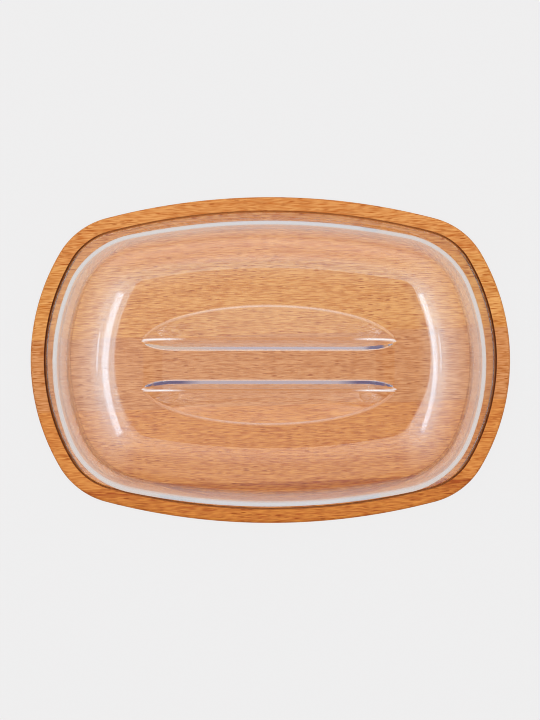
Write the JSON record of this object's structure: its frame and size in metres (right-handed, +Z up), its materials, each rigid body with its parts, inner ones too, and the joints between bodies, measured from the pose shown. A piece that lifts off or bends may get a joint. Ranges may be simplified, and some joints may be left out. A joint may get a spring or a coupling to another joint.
{
  "type": "bread box",
  "caption": "Bread box: a bowed wooden board of glued staves with a routed seat, and a clear domed lid with a grip ridge between finger scoops, which lifts off.",
  "frame": {"origin": "on the ground under the middle of the board", "axes": "+X along the board, +Y to the back, +Z up through the lid"},
  "size_m": [0.36, 0.2446, 0.136],
  "materials": {
    "stave_back": "oiled beech, orange, with short dark pores",
    "stave_mid_back": "oiled beech, light and yellowish",
    "stave_middle": "oiled beech, pinker, straight grain",
    "stave_mid_front": "oiled beech, orange, with short dark pores",
    "stave_front": "oiled beech, darkest",
    "clear_plastic": "clear glossy moulded plastic"
  },
  "bodies": {
    "board": {"board_stave_1": "stave_back", "board_stave_2": "stave_mid_back", "board_stave_3": "stave_middle", "board_stave_4": "stave_mid_front", "board_stave_5": "stave_front"},
    "lid": {"lid": "clear_plastic"}
  },
  "joints": [
    {"name": "lid_lift", "type": "slide", "parent": "board", "child": "lid", "axis": [0, 0, 1], "range_m": [0, 0.15]}
  ]
}
